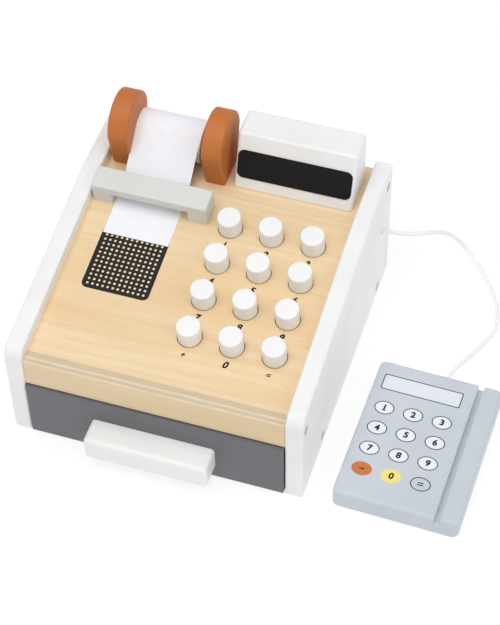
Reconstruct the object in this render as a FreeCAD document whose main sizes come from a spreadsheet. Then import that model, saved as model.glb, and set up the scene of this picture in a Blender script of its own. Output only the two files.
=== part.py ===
import FreeCAD
import Part
import math
import os
import Sketcher
from FreeCAD import Placement, Rotation, Vector

# A wooden toy cash register with a spring-loaded keypad, a cash drawer, a paper roll and a
# card reader on a cord. Millimetres; +X to the register's right, +Y to its back, +Z up; the
# origin is the centre of the register's footprint on the table.

os.makedirs("parts", exist_ok=True)
doc = FreeCAD.newDocument("toy_cash_register")

# ---------------------------------------------------------------- driving dimensions
SIZES = {
    # case
    "case_wide": 200.0,
    "case_deep": 210.0,
    "board": 12.0,
    "side_back_high": 102.4,
    "side_front_high": 78.6,
    "bend_back": 45.0,
    "nose_round": 9.0,
    "edge_round": 1.6,
    # sloping and level top
    "slope": 9.05,
    "slope_front": -94.4,
    "slope_low": 70.8,
    "slope_long": 147.3,
    "ply": 6.0,
    "level_top": 93.9,
    "level_front": 51.2,
    "rail_front": -103.6,
    "rail_low": 48.5,
    "rail_high": 71.2,
    "floor_low": 0.0,
    "floor_thick": 12.0,
    "back_thick": 8.0,
    # keypad
    "key_dia": 15.8,
    "key_hole_dia": 16.8,
    "key_proud": 13.8,
    "key_round": 1.0,
    "flange_dia": 20.0,
    "flange_thick": 2.0,
    "stem_dia": 8.0,
    "stem_bore": 8.1,
    "stem_deep": 24.5,
    "stop_gap": 0.05,
    "column_one": 9.9,
    "column_pitch": 28.5,
    "row_one": 37.55,
    "row_pitch": 28.7,
    "carrier_deep": 17.5,
    "carrier_low_end": 20.0,
    "carrier_long": 122.0,
    "spring_dia": 10.6,
    "spring_wire": 0.8,
    "spring_gap": 0.15,
    # drawer
    "drawer_wide": 160.0,
    "drawer_front_thick": 12.0,
    "drawer_front_y": -106.0,
    "drawer_front_low": 0.8,
    "drawer_front_high": 47.7,
    "drawer_gap": 0.6,
    "drawer_long": 168.0,
    "drawer_low": 12.4,
    "drawer_high": 42.0,
    "drawer_wall": 6.0,
    "drawer_base": 3.0,
    "divider": 4.0,
    "handle_wide": 84.0,
    "handle_high": 19.0,
    "handle_deep": 18.0,
    "handle_low": 11.5,
    "handle_left": -42.6,
    "handle_round": 3.0,
    "runner_high": 10.0,
    # display
    "display_left": 1.1,
    "display_wide": 82.0,
    "display_front": 61.0,
    "display_back": 97.0,
    "display_top_front": 74.0,
    "display_high": 39.6,
    "display_round": 2.2,
    "display_foot_round": 0.7,
    "screen_wide": 78.9,
    "screen_high": 20.6,
    "screen_drop": 1.7,
    "screen_thick": 0.6,
    "screen_corner": 4.5,
    # paper roll and its holder
    "holder_thick": 14.3,
    "holder_left": -84.6,
    "holder_right": -18.8,
    "holder_y": 74.2,
    "holder_arch": 21.0,
    "holder_spring_line": 122.4,
    "holder_taper": 6.5,
    "holder_round": 1.7,
    "axle_y": 80.3,
    "axle_z": 110.0,
    "axle_dia": 10.0,
    "axle_bore": 10.1,
    "axle_socket": 8.0,
    "roll_left": -70.0,
    "roll_wide": 45.8,
    "roll_dia": 29.4,
    "core_dia": 13.0,
    "paper": 0.25,
    # paper guide
    "guide_left": -86.3,
    "guide_wide": 80.8,
    "guide_front": 121.9,
    "guide_deep": 17.0,
    "guide_high": 17.2,
    "guide_notch_left": -72.9,
    "guide_notch_wide": 53.9,
    "guide_notch_high": 10.6,
    "guide_round": 1.4,
    # screws
    "screw_head_dia": 7.6,
    "screw_hole_dia": 8.0,
    "screw_sink": 1.0,
    "screw_head": 3.0,
    "screw_shank_dia": 4.0,
    "screw_long": 11.0,
    # card reader
    "reader_left": 119.1,
    "reader_front": -105.0,
    "reader_turn": -1.4,
    "reader_wide": 84.0,
    "reader_deep": 112.8,
    "reader_high": 16.5,
    "reader_round": 2.6,
    "reader_corner": 4.5,
    "swipe_left": 67.5,
    "swipe_wide": 4.4,
    "swipe_deep": 6.0,
    # cord
    "cord_dia": 3.0,
    "cord_hole_dia": 4.4,
    "cord_hole_y": 82.0,
    "cord_hole_z": 59.0,
    "cord_in_reader": 9.0,
    "cord_reader_z": 8.0,
    "knot_dia": 9.0,
    "knot_long": 6.0,
}
sheet = doc.addObject("Spreadsheet::Sheet", "sizes")
for row, (name, value) in enumerate(SIZES.items(), start=1):
    sheet.set(f"A{row}", name)
    sheet.set(f"B{row}", str(value))
    sheet.setAlias(f"B{row}", name)
doc.recompute()

theta = math.radians(SIZES["slope"])


def ref(words):
    """An expression with every driving dimension's name pointing at the sheet."""
    out = ""
    word = ""
    for letter in words + " ":
        if letter.isalnum() or letter in "_.":
            word += letter
            continue
        out += f"sizes.{word}" if word in SIZES else word
        out += letter
        word = ""
    return out.strip()


def bind(thing, **expressions):
    for prop, words in expressions.items():
        thing.setExpression(prop.replace("__", "."), ref(str(words)))


def place(thing, x="0", y="0", z="0", turn=None, axis=Vector(1, 0, 0)):
    """Bind an object's position, and its turn about one axis, to the sheet."""
    if turn is not None:
        thing.Placement = Placement(Vector(), Rotation(axis, 1.0))
        thing.setExpression("Placement.Rotation.Angle", ref(f"({turn}) * 1 deg"))
    bind(thing, Placement__Base__x=x, Placement__Base__y=y, Placement__Base__z=z)


# ---------------------------------------------------------------- PartDesign helpers
def new_body(name):
    made = doc.addObject("PartDesign::Body", f"{name}_body")
    made.Label = name
    return made


def new_sketch(body, plane, name):
    made = body.newObject("Sketcher::SketchObject", name)
    origin = next(o for o in body.Origin.OriginFeatures if o.Role == plane)
    made.AttachmentSupport = [(origin, "")]
    made.MapMode = "FlatFace"
    return made


def pin_point(sk, edge, end, x, y):
    """Tie one point of a sketch to the sketch's origin, through the sheet."""
    for kind, words in (("DistanceX", x), ("DistanceY", y)):
        value = value_of(words)
        index = sk.addConstraint(Sketcher.Constraint(kind, -1, 1, edge, end, value))
        sk.setExpression(f"Constraints[{index}]", ref(str(words)))


def value_of(words):
    """What an expression comes to with the present dimensions."""
    probe = doc.getObject("probe")
    if probe is None:
        probe = doc.addObject("App::FeaturePython", "probe")
        probe.addProperty("App::PropertyFloat", "number")
    probe.setExpression("number", ref(str(words)))
    probe.recompute()
    return probe.number


def outline(sk, points):
    """A closed polygon through points given as pairs of expressions."""
    spots = [Vector(value_of(x), value_of(y), 0) for x, y in points]
    first = sk.GeometryCount
    count = len(spots)
    for i in range(count):
        sk.addGeometry(Part.LineSegment(spots[i], spots[(i + 1) % count]), False)
    for i in range(count):
        after = first + (i + 1) % count
        sk.addConstraint(Sketcher.Constraint("Coincident", first + i, 2, after, 1))
    for i, (x, y) in enumerate(points):
        pin_point(sk, first + i, 1, x, y)


def box_outline(sk, x0, y0, x1, y1):
    outline(sk, [(x0, y0), (x1, y0), (x1, y1), (x0, y1)])


def circle(sk, x, y, dia):
    spot = Vector(value_of(x), value_of(y), 0)
    index = sk.addGeometry(Part.Circle(spot, Vector(0, 0, 1), value_of(dia) / 2), False)
    pin_point(sk, index, 3, x, y)
    across = sk.addConstraint(Sketcher.Constraint("Diameter", index, value_of(dia)))
    sk.setExpression(f"Constraints[{across}]", ref(str(dia)))


def pad(body, sk, long, name):
    made = body.newObject("PartDesign::Pad", name)
    made.Profile = sk
    bind(made, Length=long)
    sk.Visibility = False
    body.Tip = made
    doc.recompute()
    return made


def pocket(body, sk, deep, name, reverse=False):
    """Cut a sketch out of a body; the cut has to take material away."""
    before = body.Tip.Shape.Volume
    made = body.newObject("PartDesign::Pocket", name)
    made.Profile = sk
    bind(made, Length=deep)
    made.Reversed = reverse
    sk.Visibility = False
    body.Tip = made
    doc.recompute()
    if made.Shape.Volume > before - 1e-3:
        raise RuntimeError(f"{name} cuts nothing")
    return made


def rounded(body, radius, name, wanted=None):
    """Round a body's edges: all of them, or those that wanted(edge) picks."""
    base = body.Tip
    edges = [
        f"Edge{i}"
        for i, edge in enumerate(base.Shape.Edges, start=1)
        if wanted is None or wanted(edge)
    ]
    made = body.newObject("PartDesign::Fillet", name)
    made.Base = (base, edges)
    bind(made, Radius=radius)
    body.Tip = made
    doc.recompute()
    return made


def spun(body, sk, name):
    """Revolve a half profile about the body's own Z axis."""
    made = body.newObject("PartDesign::Revolution", name)
    made.Profile = sk
    made.ReferenceAxis = (sk, ["V_Axis"])
    made.Angle = 360.0
    sk.Visibility = False
    body.Tip = made
    doc.recompute()
    return made


def slab(name, x0, x1, y0, y1, z0, z1):
    """A plain board, from its low and high faces."""
    made = doc.addObject("Part::Box", name)
    bind(made, Length=f"({x1}) - ({x0})", Width=f"({y1}) - ({y0})", Height=f"({z1}) - ({z0})")
    place(made, x0, y0, z0)
    return made


def rod(name, dia, long):
    made = doc.addObject("Part::Cylinder", name)
    bind(made, Radius=f"({dia}) / 2", Height=long)
    return made


def eased(name, base, radius, wanted=None):
    """A board with rounded edges."""
    doc.recompute()
    made = doc.addObject("Part::Fillet", name)
    made.Base = base
    made.Edges = [
        (i, radius, radius)
        for i, edge in enumerate(base.Shape.Edges, start=1)
        if wanted is None or wanted(edge)
    ]
    base.Visibility = False
    return made


NODES = {}


def node(name, thing):
    thing.Label = name
    NODES[name] = thing


# ---------------------------------------------------------------- case
IN = "case_wide / 2 - board"
SCREWS = [  # distance back from the front edge, height
    (7.4, 64.7),
    (46.8, 7.4),
    (181.5, 7.0),
    (199.5, 89.6),
]


def side_panel(name, x, outer, with_cord_hole):
    body = new_body(name)
    sk = new_sketch(body, "YZ_Plane", f"{name}_outline")
    outline(
        sk,
        [
            ("-case_deep / 2", "0"),
            ("case_deep / 2", "0"),
            ("case_deep / 2", "side_back_high"),
            ("bend_back", "side_back_high"),
            ("-case_deep / 2", "side_front_high"),
        ],
    )
    pad(body, sk, "board", f"{name}_board")

    def nose(edge):
        mid = edge.CenterOfMass
        return abs(mid.y + 105) < 0.1 and abs(mid.z - SIZES["side_front_high"]) < 0.1

    rounded(body, "nose_round", f"{name}_nose", nose)
    rounded(body, "edge_round", f"{name}_eased", lambda edge: edge.CenterOfMass.z > 1)
    heads = new_sketch(body, "YZ_Plane", f"{name}_screw_seats")
    shanks = new_sketch(body, "YZ_Plane", f"{name}_screw_holes")
    for back, up in SCREWS:
        circle(heads, f"{back} - case_deep / 2", str(up), "screw_hole_dia")
        circle(shanks, f"{back} - case_deep / 2", str(up), "screw_shank_dia")
    if with_cord_hole:
        circle(shanks, "cord_hole_y", "cord_hole_z", "cord_hole_dia")
    deep = "screw_sink + screw_head"
    if outer > 0:
        heads.AttachmentOffset = Placement(Vector(0, 0, SIZES["board"]), Rotation())
        heads.setExpression("AttachmentOffset.Base.z", ref("board"))
        pocket(body, heads, deep, f"{name}_seats")
    else:
        pocket(body, heads, deep, f"{name}_seats", reverse=True)
    pocket(body, shanks, "board", f"{name}_holes", reverse=True)
    place(body, x)
    node(name, body)


side_panel("left_side_panel", "-case_wide / 2", -1, False)
side_panel("right_side_panel", IN, 1, True)

rail = slab("rail_box", f"-({IN})", IN, "rail_front", "slope_front", "rail_low", "rail_high")
node(
    "front_rail",
    eased("front_rail", rail, 0.8, lambda e: abs(e.CenterOfMass.y - SIZES["rail_front"]) < 0.1),
)


def on_slope(body):
    place(body, "0", "slope_front", "slope_low", turn="slope")


def key_spots():
    for line in range(4):
        for column in range(3):
            across = f"column_one + {column} * column_pitch"
            up = f"row_one + {line} * row_pitch"
            yield line, column, across, up


slope_panel = new_body("slope_panel")
sk = new_sketch(slope_panel, "XY_Plane", "slope_outline")
box_outline(sk, f"-({IN})", "0", IN, "slope_long")
pad(slope_panel, sk, "ply", "slope_board").Reversed = True
holes = new_sketch(slope_panel, "XY_Plane", "key_hole_circles")
for _, _, x, u in key_spots():
    circle(holes, x, u, "key_hole_dia")
pocket(slope_panel, holes, "ply", "key_holes")
on_slope(slope_panel)
node("top_slope_panel", slope_panel)

level = new_body("level")
sk = new_sketch(level, "YZ_Plane", "level_outline")
outline(
    sk,
    [
        ("level_front", "level_top"),
        ("level_front + ply * tan(slope * 1 deg)", "level_top - ply"),
        ("case_deep / 2", "level_top - ply"),
        ("case_deep / 2", "level_top"),
    ],
)
pad(level, sk, f"2 * ({IN})", "level_board")
place(level, f"-({IN})")
node("top_level_panel", level)
node(
    "back_panel",
    slab(
        "back_box",
        f"-({IN})",
        IN,
        "case_deep / 2 - back_thick",
        "case_deep / 2",
        "floor_low + floor_thick",
        "level_top - ply",
    ),
)
node(
    "case_floor",
    slab(
        "floor_box",
        f"-({IN})",
        IN,
        "slope_front + 1",
        "case_deep / 2",
        "floor_low",
        "floor_low + floor_thick",
    ),
)

carrier = new_body("carrier")
sk = new_sketch(carrier, "XY_Plane", "carrier_outline")
box_outline(sk, f"-({IN})", "carrier_low_end", IN, "carrier_low_end + carrier_long")
sk.setExpression("AttachmentOffset.Base.z", ref("-carrier_deep"))
pad(carrier, sk, "ply", "carrier_board").Reversed = True
bores = new_sketch(carrier, "XY_Plane", "stem_bore_circles")
bores.setExpression("AttachmentOffset.Base.z", ref("-carrier_deep"))
for _, _, x, u in key_spots():
    circle(bores, x, u, "stem_bore")
pocket(carrier, bores, "ply", "stem_bores")
on_slope(carrier)
node("key_carrier_board", carrier)

for side, x0, x1 in (
    ("left", f"-({IN})", "-drawer_wide / 2 - drawer_gap"),
    ("right", "drawer_wide / 2 + drawer_gap", IN),
):
    low = "floor_low + floor_thick"
    runner = slab(
        f"runner_{side}_box", x0, x1, "slope_front + 1", "case_deep / 2 - back_thick - 1", low,
        f"{low} + runner_high",
    )
    node(f"drawer_runner_{side}", runner)

screws = []
for side in (-1, 1):
    for back, up in SCREWS:
        tag = f"{'left' if side < 0 else 'right'}_{len(screws) % 4 + 1}"
        head = rod(f"screw_head_{tag}", "screw_head_dia", "screw_head")
        shank = rod(f"screw_shank_{tag}", "screw_shank_dia", "screw_long - screw_head - screw_sink")
        for piece, start in ((head, "screw_sink"), (shank, "screw_sink + screw_head")):
            place(
                piece,
                f"{side} * (case_wide / 2 - ({start}))",
                f"{back} - case_deep / 2",
                str(up),
                turn=f"{-side} * 90",
                axis=Vector(0, 1, 0),
            )
            piece.Visibility = False
        screws.append(doc.addObject("Part::Fuse", f"screw_{tag}"))
        screws[-1].Base = head
        screws[-1].Tool = shank
        screws[-1].Visibility = False
all_screws = doc.addObject("Part::Compound", "case_screws")
all_screws.Links = screws
node("case_screws", all_screws)

# ---------------------------------------------------------------- keypad
COIL_TURNS = 4


def key(name, x, u):
    """A dowel key with a stop flange and a guide stem, as one turned piece."""
    body = new_body(name)
    sk = new_sketch(body, "XZ_Plane", f"{name}_half")
    under = "-ply - stop_gap"
    outline(
        sk,
        [
            ("0", "key_proud"),
            ("key_dia / 2", "key_proud"),
            ("key_dia / 2", under),
            ("flange_dia / 2", under),
            ("flange_dia / 2", f"{under} - flange_thick"),
            ("stem_dia / 2", f"{under} - flange_thick"),
            ("stem_dia / 2", "-stem_deep"),
            ("0", "-stem_deep"),
        ],
    )
    spun(body, sk, f"{name}_turned")
    top = SIZES["key_proud"]
    rounded(body, "key_round", f"{name}_rim", lambda e: abs(e.BoundBox.ZMin - top) < 0.01)
    seat(body, x, u, "0")
    node(name, body)


def seat(thing, x, u, n):
    """Stand a piece on the sloping top: across, up the slope, and out of it."""
    place(
        thing,
        x,
        f"slope_front + ({u}) * cos(slope * 1 deg) - ({n}) * sin(slope * 1 deg)",
        f"slope_low + ({u}) * sin(slope * 1 deg) + ({n}) * cos(slope * 1 deg)",
        turn="slope",
    )


def coil(name, x, u):
    """A compression spring round a key's stem, from the carrier board to the flange.

    Each half turn is an arc tilted one way and then the other, so the wire runs on smoothly."""
    room = value_of("carrier_deep - ply - stop_gap - flange_thick")
    wire_r = SIZES["spring_wire"] / 2
    climb = (room - 2 * wire_r - 2 * SIZES["spring_gap"]) / (2 * COIL_TURNS)
    r = SIZES["spring_dia"] / 2
    middle_r = math.hypot(r, climb / 2)
    arcs = []
    for half in range(2 * COIL_TURNS):
        side = 1 if half % 2 == 0 else -1
        low = half * climb
        start = Vector(side * r, 0, low)
        top = Vector(0, side * middle_r, low + climb / 2)
        end = Vector(-side * r, 0, low + climb)
        arcs.append(Part.Arc(start, top, end).toShape())
    path = Part.Wire(arcs)
    section = Part.Wire(Part.makeCircle(wire_r, Vector(r, 0, 0), Vector(0, 1, 0)))
    made = doc.addObject("Part::Feature", name)
    made.Shape = path.makePipeShell([section], True, True)
    seat(made, x, u, "-carrier_deep + spring_wire / 2 + spring_gap")
    node(name, made)


KEY_NAMES = [["plus", "0", "equals"], ["7", "8", "9"], ["4", "5", "6"], ["1", "2", "3"]]
for line, column, x, u in key_spots():
    name = KEY_NAMES[line][column]
    key(f"key_{name}", x, u)
    coil(f"key_spring_{name}", x, u)

# ---------------------------------------------------------------- drawer
BOX_FRONT = "drawer_front_y + drawer_front_thick"
BOX_BACK = f"{BOX_FRONT} + drawer_long"
HALF = "drawer_wide / 2"
front = slab(
    "drawer_front_box",
    f"-({IN}) + drawer_gap",
    f"{IN} - drawer_gap",
    "drawer_front_y",
    BOX_FRONT,
    "drawer_front_low",
    "drawer_front_high",
)
node("drawer_front", eased("drawer_front", front, 0.8))
for side, x0, x1 in (
    ("left", f"-{HALF}", f"-{HALF} + drawer_wall"),
    ("right", f"{HALF} - drawer_wall", HALF),
):
    wall = slab(f"drawer_{side}_box", x0, x1, BOX_FRONT, BOX_BACK, "drawer_low", "drawer_high")
    node(f"drawer_side_{side}", wall)
INNER = "drawer_wide / 2 - drawer_wall"
node(
    "drawer_back",
    slab(
        "drawer_back_box",
        f"-({INNER})",
        INNER,
        f"{BOX_BACK} - drawer_wall",
        BOX_BACK,
        "drawer_low",
        "drawer_high",
    ),
)
BASE_TOP = "drawer_low + drawer_base"
node(
    "drawer_bottom",
    slab(
        "drawer_bottom_box",
        f"-({INNER})",
        INNER,
        BOX_FRONT,
        f"{BOX_BACK} - drawer_wall",
        "drawer_low",
        BASE_TOP,
    ),
)
CROSS = f"{BOX_FRONT} + 62"
node(
    "drawer_cross_divider",
    slab(
        "cross_divider_box",
        f"-({INNER})",
        INNER,
        CROSS,
        f"{CROSS} + divider",
        BASE_TOP,
        "drawer_high - 8",
    ),
)
node(
    "drawer_long_divider",
    slab(
        "long_divider_box",
        "-divider / 2",
        "divider / 2",
        BOX_FRONT,
        CROSS,
        BASE_TOP,
        "drawer_high - 8",
    ),
)
grip = slab(
    "handle_box",
    "handle_left",
    "handle_left + handle_wide",
    "drawer_front_y - handle_deep",
    "drawer_front_y",
    "handle_low",
    "handle_low + handle_high",
)
grip_back = SIZES["drawer_front_y"]
node(
    "drawer_handle",
    eased(
        "drawer_handle",
        grip,
        SIZES["handle_round"],
        lambda e: e.CenterOfMass.y < grip_back - 0.1,
    ),
)

# ---------------------------------------------------------------- display
display = new_body("display")
sk = new_sketch(display, "YZ_Plane", "display_outline")
outline(
    sk,
    [
        ("display_front", "level_top"),
        ("display_back", "level_top"),
        ("display_back", "level_top + display_high"),
        ("display_top_front", "level_top + display_high"),
    ],
)
pad(display, sk, "display_wide", "display_solid")
rounded(
    display,
    "display_round",
    "display_edges",
    lambda e: e.CenterOfMass.z > SIZES["level_top"] + 1,
)
rounded(
    display,
    "display_foot_round",
    "display_foot",
    lambda e: e.BoundBox.ZMax < SIZES["level_top"] + 0.01,
)
place(display, "display_left")
node("display_block", display)

lean = "atan((display_top_front - display_front) / display_high) / 1 deg"
screen = new_body("screen")
sk = new_sketch(screen, "XY_Plane", "screen_outline")
box_outline(sk, "-screen_wide / 2", "-screen_high / 2", "screen_wide / 2", "screen_high / 2")
pad(screen, sk, "screen_thick", "screen_sheet")
rounded(
    screen,
    "screen_corner",
    "screen_corners",
    lambda e: e.BoundBox.ZLength > 0.3,
)
place(
    screen,
    "display_left + display_wide / 2",
    f"(display_front + display_top_front) / 2 - screen_drop * sin({lean} * 1 deg)",
    f"level_top + display_high / 2 - screen_drop * cos({lean} * 1 deg)",
    turn=f"90 - {lean}",
)
node("display_screen", screen)

# ---------------------------------------------------------------- paper roll, holder and guide
def holder(name, x, socket_x, reverse):
    body = new_body(name)
    sk = new_sketch(body, "YZ_Plane", f"{name}_outline")
    names = ("holder_y - holder_arch", "holder_y + holder_arch")
    feet = (f"{names[0]} + holder_taper", f"{names[1]} - holder_taper")
    spots = [
        (feet[1], "level_top"),
        (feet[0], "level_top"),
        (names[0], "holder_spring_line"),
        (names[1], "holder_spring_line"),
    ]
    at = [Vector(value_of(a), value_of(b), 0) for a, b in spots]
    crown = Vector(SIZES["holder_y"], SIZES["holder_spring_line"] + SIZES["holder_arch"], 0)
    lines = [(at[3], at[0]), (at[0], at[1]), (at[1], at[2])]
    for start, end in lines:
        sk.addGeometry(Part.LineSegment(start, end), False)
    arc = Part.Arc(at[3], crown, at[2])
    sk.addGeometry(arc, False)
    sk.addConstraint(Sketcher.Constraint("Coincident", 0, 2, 1, 1))
    sk.addConstraint(Sketcher.Constraint("Coincident", 1, 2, 2, 1))
    sk.addConstraint(Sketcher.Constraint("Coincident", 2, 2, 3, 2))
    sk.addConstraint(Sketcher.Constraint("Coincident", 3, 1, 0, 1))
    pin_point(sk, 1, 1, *spots[0])
    pin_point(sk, 1, 2, *spots[1])
    pin_point(sk, 3, 3, "holder_y", "holder_spring_line")
    across = sk.addConstraint(Sketcher.Constraint("Radius", 3, SIZES["holder_arch"]))
    sk.setExpression(f"Constraints[{across}]", ref("holder_arch"))
    level = sk.addConstraint(Sketcher.Constraint("DistanceY", -1, 1, 2, 2, at[2].y))
    sk.setExpression(f"Constraints[{level}]", ref("holder_spring_line"))
    level = sk.addConstraint(Sketcher.Constraint("DistanceY", -1, 1, 0, 1, at[3].y))
    sk.setExpression(f"Constraints[{level}]", ref("holder_spring_line"))
    pad(body, sk, "holder_thick", f"{name}_solid")
    rounded(
        body,
        "holder_round",
        f"{name}_edges",
        lambda e: e.CenterOfMass.z > SIZES["level_top"] + 1,
    )
    hole = new_sketch(body, "YZ_Plane", f"{name}_socket_circle")
    hole.setExpression("AttachmentOffset.Base.z", ref(socket_x))
    circle(hole, "axle_y", "axle_z", "axle_bore")
    pocket(body, hole, "axle_socket", f"{name}_socket", reverse=reverse)
    place(body, x)
    node(name, body)


holder("roll_holder_left", "holder_left", "holder_thick", False)
holder("roll_holder_right", "holder_right", "0", True)


def along_x(thing, x, y, z):
    place(thing, x, y, z, turn="90", axis=Vector(0, 1, 0))


axle_start = "holder_left + holder_thick - axle_socket + 0.3"
axle = rod("axle", "axle_dia", f"holder_right + axle_socket - 0.3 - ({axle_start})")
along_x(axle, axle_start, "axle_y", "axle_z")
node("roll_axle", axle)


def ring(name, outer, inner, x, long):
    body = new_body(name)
    sk = new_sketch(body, "XY_Plane", f"{name}_rings")
    circle(sk, "0", "0", outer)
    circle(sk, "0", "0", inner)
    pad(body, sk, long, f"{name}_tube")
    along_x(body, x, "axle_y", "axle_z")
    node(name, body)


ring("roll_core", "core_dia", "axle_bore", "roll_left", "roll_wide")
ring("paper_roll", "roll_dia", "core_dia", "roll_left", "roll_wide")

guide = new_body("guide")
sk = new_sketch(guide, "XZ_Plane", "guide_outline")
notch = ("guide_notch_left", "guide_notch_left + guide_notch_wide")
outline(
    sk,
    [
        ("guide_left", "0"),
        (notch[0], "0"),
        (notch[0], "guide_notch_high"),
        (notch[1], "guide_notch_high"),
        (notch[1], "0"),
        ("guide_left + guide_wide", "0"),
        ("guide_left + guide_wide", "guide_high"),
        ("guide_left", "guide_high"),
    ],
)
sk.setExpression("AttachmentOffset.Base.z", ref("-guide_front"))
pad(guide, sk, "guide_deep", "guide_solid").Reversed = True
doc.recompute()


def outer_edge(edge):
    """The guide's outer edges, without the notch's and without those on the panel."""
    box = edge.BoundBox
    ends = box.XMax < SIZES["guide_left"] + 0.1 or box.XMin > -5.6
    return box.ZMin > SIZES["guide_high"] - 0.1 or (ends and box.ZMax > 0.1)


rounded(guide, "guide_round", "guide_edges", outer_edge)
on_slope(guide)
node("paper_guide", guide)

# The paper runs from the roll's front down to the panel and under the guide. The stretch up
# to the guide stays with the case; the tail lies on the panel and is what is pulled out.
TAIL_FREE_END = 98.7
TAIL_INNER_END = 121.0
LIFT = 0.3


def on_panel(u, n):
    y = SIZES["slope_front"] + u * math.cos(theta) - n * math.sin(theta)
    z = SIZES["slope_low"] + u * math.sin(theta) + n * math.cos(theta)
    return Vector(0, y, z)


def strip(name, spots):
    """A band of paper through spots in the YZ plane, as thick as the sheet says."""
    thick = SIZES["paper"]
    upper = []
    for i, spot in enumerate(spots):
        before = spots[max(i - 1, 0)]
        after = spots[min(i + 1, len(spots) - 1)]
        along = (after - before).normalize()
        upper.append(spot + Vector(0, -along.z, along.y) * thick)
    corners = spots + upper[::-1]
    face = Part.Face(Part.makePolygon(corners + corners[:1]))
    made = doc.addObject("Part::Feature", name)
    made.Shape = face.extrude(Vector(sheet.roll_wide, 0, 0))
    made.Placement = Placement(Vector(sheet.roll_left, 0, 0), Rotation())
    node(name, made)


strip("paper_tail", [on_panel(TAIL_FREE_END, LIFT), on_panel(TAIL_INNER_END, LIFT)])
lead_angle = math.radians(43.5)
roll_r = SIZES["roll_dia"] / 2 + 0.4
leave = Vector(
    0,
    SIZES["axle_y"] - roll_r * math.sin(lead_angle),
    SIZES["axle_z"] + roll_r * math.cos(lead_angle),
)
strip(
    "paper_lead",
    [
        on_panel(TAIL_INNER_END + 0.3, LIFT),
        on_panel(138.5, LIFT),
        on_panel(142.5, LIFT + 0.7),
        on_panel(146.5, LIFT + 3.2),
        leave - Vector(0, math.cos(lead_angle), math.sin(lead_angle)) * 6,
        leave,
    ],
)

# ---------------------------------------------------------------- card reader
reader = new_body("reader")
sk = new_sketch(reader, "XY_Plane", "reader_outline")
box_outline(sk, "0", "0", "reader_wide", "reader_deep")
pad(reader, sk, "reader_high", "reader_solid")
rounded(reader, "reader_corner", "reader_corners", lambda e: e.BoundBox.ZLength > 1)
rounded(reader, "reader_round", "reader_edges", lambda e: e.BoundBox.ZLength < 1)
sk = new_sketch(reader, "XZ_Plane", "swipe_outline")
box_outline(sk, "swipe_left", "reader_high - swipe_deep", "swipe_left + swipe_wide", "reader_high + 1")
pocket(reader, sk, "reader_deep", "swipe_slot", reverse=False)
sk = new_sketch(reader, "XZ_Plane", "cord_socket_circle")
sk.setExpression("AttachmentOffset.Base.z", ref("-reader_deep"))
circle(sk, "reader_wide / 2", "cord_reader_z", "cord_hole_dia")
pocket(reader, sk, "cord_in_reader", "cord_socket", reverse=True)
place(reader, "reader_left", "reader_front", "0", turn="reader_turn", axis=Vector(0, 0, 1))
node("card_reader", reader)

# ---------------------------------------------------------------- cord
turn = math.radians(SIZES["reader_turn"])


def in_reader(x, y, z):
    return Vector(
        SIZES["reader_left"] + x * math.cos(turn) - y * math.sin(turn),
        SIZES["reader_front"] + x * math.sin(turn) + y * math.cos(turn),
        z,
    )


HOLE = Vector(SIZES["case_wide"] / 2 - SIZES["board"], SIZES["cord_hole_y"], SIZES["cord_hole_z"])
MID = SIZES["reader_wide"] / 2
BACK = SIZES["reader_deep"]
SINK = SIZES["cord_in_reader"]
FLOOR = 1.6
CORD_ROUTE = [
    HOLE,
    Vector(117, 82.5, 59),
    Vector(134, 108, 41),
    Vector(151, 127, 15),
    Vector(171, 112, FLOOR),
    Vector(190.5, 72, FLOOR),
    Vector(175, 41, FLOOR),
    in_reader(MID, BACK + 12, SIZES["cord_reader_z"]),
    in_reader(MID, BACK - SINK, SIZES["cord_reader_z"]),
]


def cord_path(spots):
    """Straight runs joined by tangent arcs; gives the edges and the bend radii."""
    edges = []
    radii = []
    start = spots[0]
    for before, corner, after in zip(spots, spots[1:], spots[2:]):
        to_corner = corner - before
        to_after = after - corner
        half = to_corner.getAngle(to_after) / 2
        reach = 0.45 * min(to_corner.Length, to_after.Length)
        radii.append(reach / math.tan(half))
        enter = corner - to_corner.normalize() * reach
        leave_at = corner + to_after.normalize() * reach
        inward = (enter + leave_at) * 0.5 - corner
        middle_off = radii[-1] * (1 / math.cos(half) - 1)
        middle = corner + inward.normalize() * middle_off
        edges.append(Part.LineSegment(start, enter).toShape())
        edges.append(Part.Arc(enter, middle, leave_at).toShape())
        start = leave_at
    edges.append(Part.LineSegment(start, spots[-1]).toShape())
    return Part.Wire(edges), radii


path, bend_radii = cord_path(CORD_ROUTE)
first = (CORD_ROUTE[1] - CORD_ROUTE[0]).normalize()
section = Part.Wire(Part.makeCircle(sheet.cord_dia / 2, CORD_ROUTE[0], first))
tube = path.makePipeShell([section], True, False)
cord = doc.addObject("Part::Feature", "cord_tube")
cord.Shape = tube
node("reader_cord", cord)
expected = math.pi * (SIZES["cord_dia"] / 2) ** 2 * path.Length
print("cord bend radii, mm:", [round(r, 1) for r in bend_radii])
print("cord length, mm:", round(path.Length, 1), "volume ratio:", round(tube.Volume / expected, 4))

knot = rod("knot", "knot_dia", "knot_long")
along_x(knot, f"{IN} - knot_long", "cord_hole_y", "cord_hole_z")
node("cord_knot", knot)

# ---------------------------------------------------------------- check and export
doc.recompute()
for thing in doc.Objects:
    bad = [word for word in ("Invalid", "Error") if word in thing.State]
    if bad:
        raise RuntimeError(f"{thing.Label}: {bad}")
for name, thing in NODES.items():
    shape = thing.Shape
    if shape.isNull() or not shape.isValid():
        raise RuntimeError(f"{name} has no valid shape")
    shape.exportStep(f"parts/{name}.step")
    box = shape.optimalBoundingBox()
    print(
        f"{name:24s} {box.XMin:8.2f} {box.XMax:8.2f} {box.YMin:8.2f} {box.YMax:8.2f}"
        f" {box.ZMin:8.2f} {box.ZMax:8.2f} vol {shape.Volume:11.1f} solids {len(shape.Solids)}"
    )
print(len(NODES), "nodes")
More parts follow.
